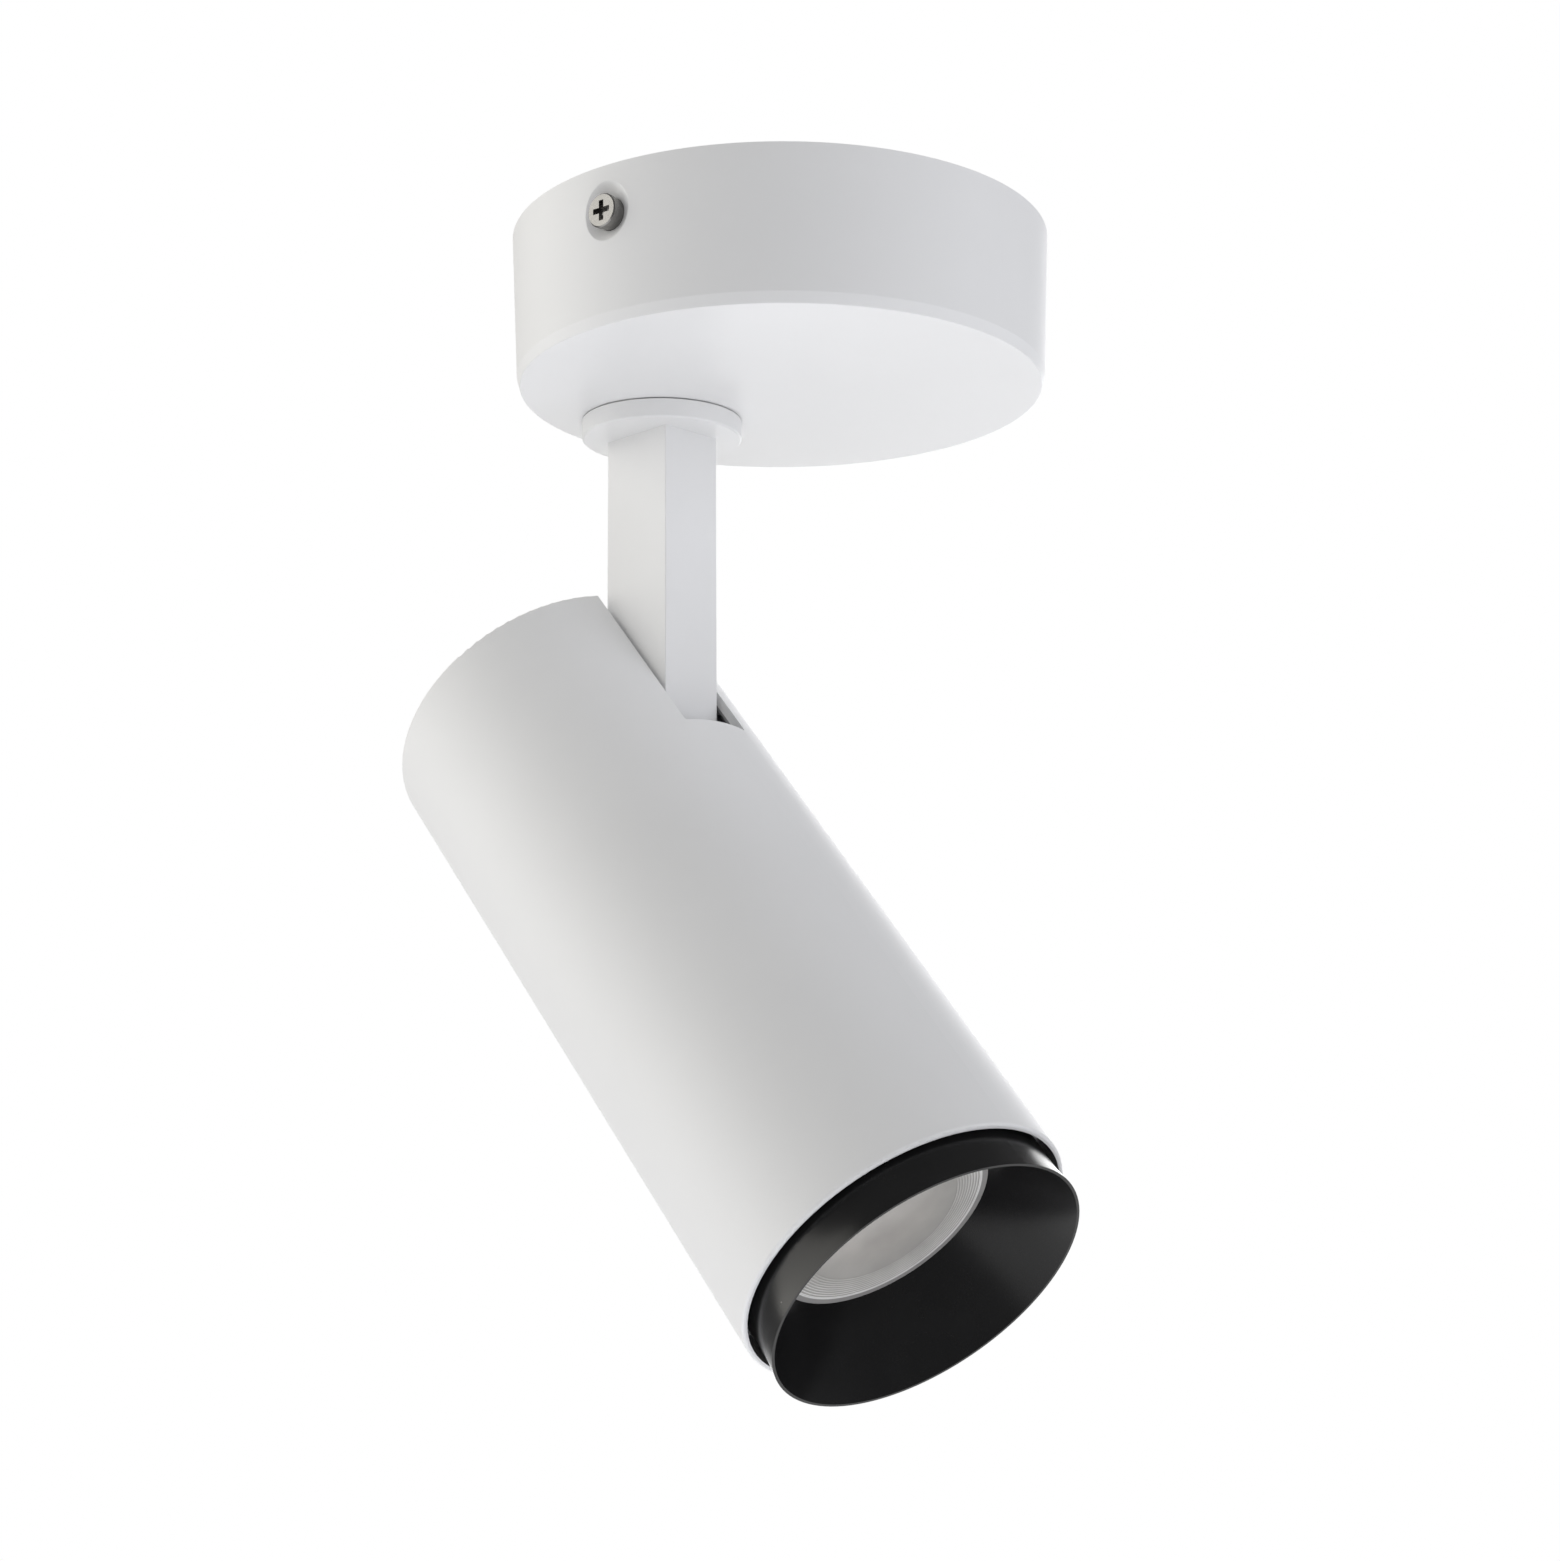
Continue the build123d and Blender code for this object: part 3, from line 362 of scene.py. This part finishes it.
def node_points(name):
    """Corner points of a node as an array."""
    mesh = frame["nodes"][name].data
    points = np.empty(len(mesh.vertices) * 3)
    mesh.vertices.foreach_get("co", points)
    return points.reshape(-1, 3)


def node_centre(name):
    """Middle of a node's box, which is the true centre of a piece that looks the same when turned half round."""
    low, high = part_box(name)
    return np.array((low + high) / 2)


def head_axis():
    """Point on the head's axis and the direction in which the head aims, from two pieces centred on it."""
    back = node_centre("thermal_pad")
    aim = node_centre("front_ring") - back
    return back, aim / np.linalg.norm(aim)


def axis_places(points, origin, aim):
    """Distance along an axis and radius from it of each point."""
    offset = points - origin
    along = offset @ aim
    return along, np.linalg.norm(offset - along[:, None] * aim, axis=1)


def turned_surface(radius, station, origin, aim, columns):
    """Closed surface of revolution: point (i, j) lies at station i on the axis, and radius i out at angle j.

    The first and last profile points lie on the axis, and each becomes one point with a fan of triangles.
    """
    side = np.cross(aim, (0.0, 0.0, 1.0))
    side /= np.linalg.norm(side)
    turn = np.linspace(0, 2 * np.pi, columns, endpoint=False)
    spoke = np.cos(turn)[:, None] * side + np.sin(turn)[:, None] * np.cross(aim, side)
    rings = origin + station[1:-1, None, None] * aim + radius[1:-1, None, None] * spoke
    poles = origin + station[[0, -1], None] * aim
    points = np.concatenate((rings.reshape(-1, 3), poles))
    rows = len(radius) - 2
    here = np.arange(columns)
    ahead = (here + 1) % columns
    base = np.arange(rows - 1)[:, None] * columns
    quads = np.stack((base + here, base + columns + here, base + columns + ahead, base + ahead), -1)
    first = np.stack((np.full(columns, rows * columns), here, ahead), -1)
    last_row = (rows - 1) * columns
    last = np.stack((np.full(columns, rows * columns + 1), last_row + ahead, last_row + here), -1)
    return points, quads.reshape(-1, 4).tolist() + first.tolist() + last.tolist()


def new_piece(name, points, faces, body, crease):
    """Piece with its place in its mesh, smooth apart from edges sharper than the crease, riding on a body."""
    mesh = bpy.data.meshes.new(name)
    mesh.from_pydata(points.tolist(), [], faces)
    mesh.shade_smooth()
    mesh.set_sharp_from_angle(angle=crease)
    piece = bpy.data.objects.new(name, mesh)
    bpy.context.scene.collection.objects.link(piece)
    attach(piece, body)
    return piece


def set_values(piece, name, values):
    """Gives each of a piece's points a number, in an attribute that its finish reads."""
    piece.data.attributes.new(name, "FLOAT", "POINT").data.foreach_set("value", values)


def ring_band(sizes, window):
    """Radii between which the lens's rings lie, inside the bezel's window."""
    end = window - sizes.ring_margin
    return end - sizes.ring_count * sizes.ring_pitch, end


def ring_phase(sizes, radius, window):
    """How many ring pitches a radius lies beyond the start of the lens's band of rings, kept within the band."""
    start, _ = ring_band(sizes, window)
    return np.clip((radius - start) / sizes.ring_pitch, 0, sizes.ring_count)


def painted_ring_glints(sizes, radius, window):
    """How bright the rings' painted glints are at a radius.

    Each ring's painted glint is the fourth power of the sine of half a turn per pitch, and grows evenly to the last
    ring.
    One more painted glint, a bell curve over the radius, lies where the rings end.
    """
    phase = ring_phase(sizes, radius, window)
    glint_lines = np.sin(np.pi * phase) ** 4 * phase / sizes.ring_count
    _, end = ring_band(sizes, window)
    return np.maximum(glint_lines, np.exp(-(((radius - end) / sizes.ring_end_glint) ** 2)))


def lens_profile(sizes, front, back, rim, window):
    """Lens profile from the middle of its face to the bottom of its well, as radii and stations.

    The face is flat apart from a band of rings: its depth there is half the ring depth times one minus the
    cosine of a full turn per pitch.
    """
    start, end = ring_band(sizes, window)
    face = np.concatenate((
        np.linspace(0, start, LENS_MIDDLE_POINTS),
        np.linspace(start, end, sizes.ring_count * LENS_RING_POINTS + 1)[1:],
        np.linspace(end, rim, LENS_BORDER_POINTS)[1:],
    ))
    dip = sizes.ring_depth / 2 * (1 - np.cos(2 * np.pi * ring_phase(sizes, face, window)))
    shoulder = front - sizes.lens_flange
    well_end = back + sizes.lens_well_depth
    flank = np.array((
        (rim, shoulder),
        (rim - sizes.lens_shoulder, shoulder),
        (sizes.lens_foot, back),
        (sizes.lens_well, back),
        (sizes.lens_well, well_end),
        (0.0, well_end),
    ))
    return np.concatenate((face, flank[:, 0])), np.concatenate((front - dip, flank[:, 1]))


# Operators


def bore_shaded_tint(coat, painted_shade, radius):
    """Tint of the head's tube: the coat, and a darker grey of painted shade where a place is nearer to the head's
    axis than a radius.
    """
    origin, aim = head_axis()

    def tint(tree, place):
        offset = vector(tree, "SUBTRACT", place, origin)[0]
        across = vector(tree, "CROSS_PRODUCT", offset, aim)[0]
        distance = vector(tree, "LENGTH", across)["Value"]
        return blend(tree, number(tree, "LESS_THAN", distance, radius), opaque(coat), opaque(painted_shade))

    return tint


class SPOTLIGHT_OT_powder_coat(bpy.types.Operator):
    """Give the canopy, flange, arm, tube and rear cap their matt white powder coat, with painted shade inside the
    tube's bore
    """

    bl_idname = "spotlight.powder_coat"
    bl_label = "Powder coat"

    def execute(self, context):
        sizes, colours = context.scene.spotlight_sizes, context.scene.spotlight_colours
        _, radii = axis_places(node_points("head_tube"), *head_axis())
        grain = {
            "patch": 0.030, "amount": 0.012, "rough": 0.50, "spread": 0.16, "width": sizes.powder_grain,
            "relief": sizes.powder_relief, "Specular_IOR_Level": 0.40,
        }
        coat = grained_finish("White powder coat", colours.powder, **grain)
        # Inside the bore the tube gets a darker grey: painted shade in the recess.
        tint = bore_shaded_tint(colours.powder, colours.bore, radii.min() + sizes.powder_grain)
        tube = grained_finish("Tube powder coat and painted bore shade", tint, **grain)
        paint(coat, "canopy", "swivel_flange", "arm", "rear_cap")
        paint(tube, "head_tube")
        return {"FINISHED"}


class SPOTLIGHT_OT_bezel(bpy.types.Operator):
    """Give the bezel its satin black finish with a few specks of dust"""

    bl_idname = "spotlight.bezel"
    bl_label = "Bezel"

    def execute(self, context):
        sizes, colours = context.scene.spotlight_sizes, context.scene.spotlight_colours
        material, tree, shader, place = new_finish("Satin black", Specular_IOR_Level=0.36)
        specks = use_group(tree, "Dust specks", {"Vector": place, "Scale": 420.0, "Share": 0.03})
        clouds = use_group(
            tree, "Mottle", {"Vector": place, "Colour": opaque(colours.bezel), "Scale": 90.0, "Amount": 0.25}
        )
        tint = blend(tree, specks["Mask"], clouds["Colour"], opaque(colours.dust))
        tree.links.new(tint, shader["Base Color"])
        join_bumps(
            tree, shader, place, "Fine grain", rough=0.23, spread=0.06, width=sizes.bezel_grain,
            relief=sizes.bezel_relief,
        )
        paint(material, "bezel")
        return {"FINISHED"}


def lens_finish(colours):
    """Lens finish of painted light, which reads how far out a point lies and how bright its ring's painted glint is.
    """
    material, tree, shader, place = new_finish("Moulded lens", IOR=1.49, Transmission_Weight=0.12)
    reach = add_node(tree, "ShaderNodeAttribute", attribute_name="reach").outputs["Fac"]
    glint = add_node(tree, "ShaderNodeAttribute", attribute_name="glint").outputs["Fac"]
    outer = remap(tree, reach, LENS_MIDDLE_FADE, (0.0, 1.0), "SMOOTHSTEP")
    border = remap(tree, reach, LENS_BORDER_FADE, (0.0, 1.0))
    # Painted light: the greys of the middle and band stand in for light inside the clear lens.
    painted_inner_light = blend(tree, outer, opaque(colours.lens), opaque(colours.lens_band))
    # Painted glints: the ring lines are blended towards near white.
    with_glints = blend(tree, glint, painted_inner_light, opaque(colours.lens_glint))
    tint = blend(tree, border, with_glints, opaque(colours.lens_rim))
    # The strong mottle paints cloudy highlights on the lens.
    clouds = use_group(tree, "Mottle", {"Vector": place, "Colour": tint, "Scale": 70.0, "Amount": 0.16})
    gloss = use_group(tree, "Fine grain", {"Vector": place, "Scale": 250.0, "Roughness": 0.16, "Spread": 0.06})
    tree.links.new(clouds["Colour"], shader["Base Color"])
    tree.links.new(gloss["Roughness"], shader["Roughness"])
    return material


class SPOTLIGHT_OT_lens(bpy.types.Operator):
    """Make the moulded lens with its rings"""

    bl_idname = "spotlight.lens"
    bl_label = "Lens"

    def execute(self, context):
        sizes, colours = context.scene.spotlight_sizes, context.scene.spotlight_colours
        axis = head_axis()
        along, radii = axis_places(node_points("lens"), *axis)
        _, bezel_radii = axis_places(node_points("bezel"), *axis)
        window = bezel_radii.min()
        profile = lens_profile(sizes, along.max(), along.min(), radii.max(), window)
        points, faces = turned_surface(*profile, *axis, LENS_COLUMNS)
        lens = new_piece("lens_moulding", points, faces, "head", LENS_CREASE)
        _, radius = axis_places(points, *axis)
        set_values(lens, "reach", radius / window)
        # Brightness of each point's painted ring glint.
        set_values(lens, "glint", painted_ring_glints(sizes, radius, window))
        lens.data.materials.append(lens_finish(colours))
        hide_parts("lens")
        return {"FINISHED"}


class SPOTLIGHT_OT_fastenings(bpy.types.Operator):
    """Give the screws, nuts, washers and brackets their plated finishes"""

    bl_idname = "spotlight.fastenings"
    bl_label = "Fastenings"

    def execute(self, context):
        colours = context.scene.spotlight_colours
        zinc = grained_finish(
            "Zinc plate", colours.zinc, patch=0.006, amount=0.10, rough=0.34, spread=0.30, width=0.0008,
            relief=0.000004, marks="Tool marks", Metallic=1.0,
        )
        nickel = grained_finish(
            "Nickel plate", colours.nickel, patch=0.003, amount=0.04, rough=0.26, spread=0.08, width=0.0004,
            relief=0.0000006, Metallic=1.0,
        )
        brass = grained_finish(
            "Turned brass", colours.brass, patch=0.004, amount=0.08, rough=0.30, spread=0.20, width=0.0006,
            relief=0.000004, marks="Tool marks", Metallic=1.0,
        )
        paint(
            zinc, "ceiling_bracket", "bracket_lugs", "stop_post", "swivel_nipple", "stop_washer",
            "spring_washer", "swivel_nut", "pivot_bracket", "pivot_bolt", "pivot_nut", "bracket_screws",
            "holder_screws", "terminal_screws",
        )
        paint(nickel, "canopy_screws")
        paint(brass, "earth_screw")
        return {"FINISHED"}


class SPOTLIGHT_OT_driver(bpy.types.Operator):
    """Give the driver, its board, the terminal block and other mouldings their finishes"""

    bl_idname = "spotlight.driver"
    bl_label = "Driver and mouldings"

    def execute(self, context):
        sizes, colours = context.scene.spotlight_sizes, context.scene.spotlight_colours
        white = grained_finish(
            "White moulding", colours.white_plastic, patch=0.020, amount=0.02, rough=0.42, spread=0.16,
            width=sizes.mould_grain, relief=sizes.mould_relief,
        )
        black = grained_finish(
            "Black moulding", colours.black_plastic, patch=0.010, amount=0.20, rough=0.48, spread=0.16,
            width=sizes.mould_grain, relief=sizes.mould_relief,
        )
        board = grained_finish(
            "Solder mask", colours.board, patch=0.003, amount=0.30, rough=0.30, spread=0.12, width=0.0012,
            relief=0.000020, Coat_Weight=0.3,
        )
        paint(white, "driver_case", "driver_lid", "terminal_block", "led_holder")
        paint(
            black, "driver_transformer", "driver_capacitors", "friction_washer", "pivot_washers", "lens_holder"
        )
        paint(board, "driver_board")
        return {"FINISHED"}


class SPOTLIGHT_OT_light_source(bpy.types.Operator):
    """Give the heat sink, the light source and the front ring their finishes"""

    bl_idname = "spotlight.light_source"
    bl_label = "Light source"

    def execute(self, context):
        colours = context.scene.spotlight_colours
        machined = grained_finish(
            "Machined aluminium", colours.aluminium, patch=0.010, amount=0.05, rough=0.32, spread=0.24,
            width=0.0006, relief=0.000004, marks="Tool marks", Metallic=1.0,
        )
        phosphor = grained_finish(
            "Phosphor", colours.phosphor, patch=0.001, amount=0.10, rough=0.60, spread=0.10, width=0.0003,
            relief=0.000020,
        )
        paint(machined, "heat_sink", "led_board", "front_ring")
        paint(phosphor, "led_phosphor")
        return {"FINISHED"}


class SPOTLIGHT_OT_seals(bpy.types.Operator):
    """Give the gasket, grommet, pads and cables their rubber and sheath finishes"""

    bl_idname = "spotlight.seals"
    bl_label = "Seals and cables"

    def execute(self, context):
        colours = context.scene.spotlight_colours
        grey = grained_finish(
            "Grey rubber", colours.grey_rubber, patch=0.006, amount=0.06, rough=0.80, spread=0.16,
            width=0.0005, relief=0.000020,
        )
        black = grained_finish(
            "Black rubber", colours.black_rubber, patch=0.006, amount=0.20, rough=0.70, spread=0.16,
            width=0.0005, relief=0.000015,
        )
        sheath = grained_finish(
            "Cable sheath", colours.cable, patch=0.010, amount=0.03, rough=0.45, spread=0.12, width=0.0006,
            relief=0.000010,
        )
        paint(grey, "driver_pad", "terminal_pad", "thermal_pad")
        paint(black, "swivel_gasket", "cable_grommet", "driver_leads")
        paint(sheath, "driver_cable", "arm_cable", "head_cable")
        return {"FINISHED"}


def area_lamp(name, place, width, watts, tint=(1.0, 1.0, 1.0), mirrored=False):
    """Square soft lamp that faces the object; the camera doesn't see it, and gloss only where it is mirrored."""
    data = bpy.data.lights.new(name, "AREA")
    data.shape = "SQUARE"
    data.size = width
    data.energy = watts
    data.color = tint
    lamp = bpy.data.objects.new(name, data)
    lamp.location = place
    lamp.rotation_euler = (Vector(LAMP_TARGET) - Vector(place)).to_track_quat("-Z", "Y").to_euler()
    lamp.visible_camera = False
    lamp.visible_glossy = mirrored
    bpy.context.scene.collection.objects.link(lamp)


def ray_kinds(tree):
    """Sockets that are one for camera rays, and for the rays of gloss and glass."""
    path = tree.nodes.new("ShaderNodeLightPath").outputs
    return path["Is Camera Ray"], number(tree, "MAXIMUM", path["Is Glossy Ray"], path["Is Transmission Ray"])


def studio_world(stage):
    """World that is white in the picture; gloss and glass show white towards the backdrop, else a dim room.

    The white share is a smooth step of the cosine between a direction and the way to the backdrop.
    """
    world = bpy.data.worlds.new("Studio")
    world.use_nodes = True
    tree = world.node_tree
    tree.nodes.clear()
    camera, shiny = ray_kinds(tree)
    way = tree.nodes.new("ShaderNodeTexCoord").outputs["Generated"]
    facing = vector(tree, "DOT_PRODUCT", way, Vector(stage.backdrop_way).normalized())["Value"]
    mirrored = remap(tree, facing, (BACKDROP_EDGE, BACKDROP_CORE), (stage.room, 1.0), "SMOOTHSTEP")
    light = between(tree, camera, between(tree, shiny, stage.ambient, mirrored), 1.0)
    shown = add_node(tree, "ShaderNodeBackground", {"Color": opaque((1.0, 1.0, 1.0)), "Strength": light})
    output = tree.nodes.new("ShaderNodeOutputWorld")
    tree.links.new(shown.outputs[0], output.inputs["Surface"])
    return world


def whiten(material, glow):
    """Makes a stage finish paler: the camera, gloss and glass see it mixed with a share of white."""
    tree = material.node_tree
    output = next(entry for entry in tree.nodes if entry.bl_idname == "ShaderNodeOutputMaterial")
    shader = output.inputs["Surface"].links[0].from_socket
    amount = number(tree, "MULTIPLY", number(tree, "MAXIMUM", *ray_kinds(tree)), glow)
    white = add_node(tree, "ShaderNodeEmission", {"Color": opaque((1.0, 1.0, 1.0)), "Strength": 1.0})
    mixed = add_node(tree, "ShaderNodeMixShader", {0: amount, 1: shader, 2: white.outputs[0]})
    tree.links.new(mixed.outputs[0], output.inputs["Surface"])


def new_floor(stage, tint):
    """Round pale floor below the object."""
    turn = np.linspace(0, 2 * np.pi, FLOOR_CORNERS, endpoint=False)
    rim = np.stack((np.cos(turn), np.sin(turn), np.zeros_like(turn)), -1) * stage.floor_radius
    mesh = bpy.data.meshes.new("floor")
    mesh.from_pydata((rim - (0.0, 0.0, stage.floor_drop)).tolist(), [], [list(range(FLOOR_CORNERS))])
    material = grained_finish(
        "Studio floor", tint, patch=0.4, amount=0.01, rough=0.8, spread=0.1, width=0.02, relief=0.0001
    )
    whiten(material, stage.floor_glow)
    mesh.materials.append(material)
    floor = bpy.data.objects.new("floor", mesh)
    bpy.context.scene.collection.objects.link(floor)


def new_camera(stage):
    """Camera at the photograph's viewing angle."""
    data = bpy.data.cameras.new("camera")
    data.lens = stage.camera_lens
    data.sensor_width = 36.0
    data.shift_x, data.shift_y = stage.camera_shift
    data.clip_start = 0.01
    camera = bpy.data.objects.new("camera", data)
    camera.location = stage.camera_place
    camera.rotation_euler = stage.camera_turn
    bpy.context.scene.collection.objects.link(camera)
    return camera


class SPOTLIGHT_OT_stage(bpy.types.Operator):
    """Make the floor, the world, the lamps and the camera"""

    bl_idname = "spotlight.stage"
    bl_label = "Stage"

    def execute(self, context):
        scene, stage = context.scene, context.scene.spotlight_stage
        new_floor(stage, scene.spotlight_colours.floor)
        scene.world = studio_world(stage)
        low_place = (*LOW_PLACE, LOW_LIFT - stage.floor_drop)
        area_lamp("key_lamp", KEY_PLACE, KEY_WIDTH, stage.key_power, stage.warm, mirrored=True)
        area_lamp("side_lamp", SIDE_PLACE, SIDE_WIDTH, stage.side_power, stage.cool)
        area_lamp("back_lamp", BACK_PLACE, BACK_WIDTH, stage.back_power, mirrored=True)
        area_lamp("low_lamp", low_place, LOW_WIDTH, stage.low_power, stage.cool)
        scene.camera = new_camera(stage)
        scene.view_settings.view_transform = "Standard"
        return {"FINISHED"}


class SPOTLIGHT_PT_panel(bpy.types.Panel):
    """Sidebar panel with the spotlight's sizes, colours and operators"""

    bl_idname = "SPOTLIGHT_PT_panel"
    bl_label = "Ceiling spotlight"
    bl_space_type = "VIEW_3D"
    bl_region_type = "UI"
    bl_category = "Spotlight"

    def draw(self, context):
        layout, scene = self.layout, context.scene
        for group in (scene.spotlight_sizes, scene.spotlight_colours, scene.spotlight_stage):
            box = layout.box()
            for name in group.__annotations__:
                box.prop(group, name)
        for operator in OPERATORS:
            layout.operator(operator.bl_idname)


OPERATORS = (
    SPOTLIGHT_OT_stage,
    SPOTLIGHT_OT_powder_coat,
    SPOTLIGHT_OT_bezel,
    SPOTLIGHT_OT_lens,
    SPOTLIGHT_OT_fastenings,
    SPOTLIGHT_OT_driver,
    SPOTLIGHT_OT_light_source,
    SPOTLIGHT_OT_seals,
)
CLASSES = (SpotlightSizes, SpotlightColours, SpotlightStage, *OPERATORS, SPOTLIGHT_PT_panel)


def register():
    for entry in CLASSES:
        bpy.utils.register_class(entry)
    bpy.types.Scene.spotlight_sizes = PointerProperty(type=SpotlightSizes)
    bpy.types.Scene.spotlight_colours = PointerProperty(type=SpotlightColours)
    bpy.types.Scene.spotlight_stage = PointerProperty(type=SpotlightStage)


def unregister():
    del bpy.types.Scene.spotlight_stage
    del bpy.types.Scene.spotlight_colours
    del bpy.types.Scene.spotlight_sizes
    for entry in reversed(CLASSES):
        bpy.utils.unregister_class(entry)


def main():
    register()
    bpy.ops.spotlight.stage()
    bpy.ops.spotlight.powder_coat()
    bpy.ops.spotlight.bezel()
    bpy.ops.spotlight.lens()
    bpy.ops.spotlight.fastenings()
    bpy.ops.spotlight.driver()
    bpy.ops.spotlight.light_source()
    bpy.ops.spotlight.seals()


if __name__ == "__main__":
    main()
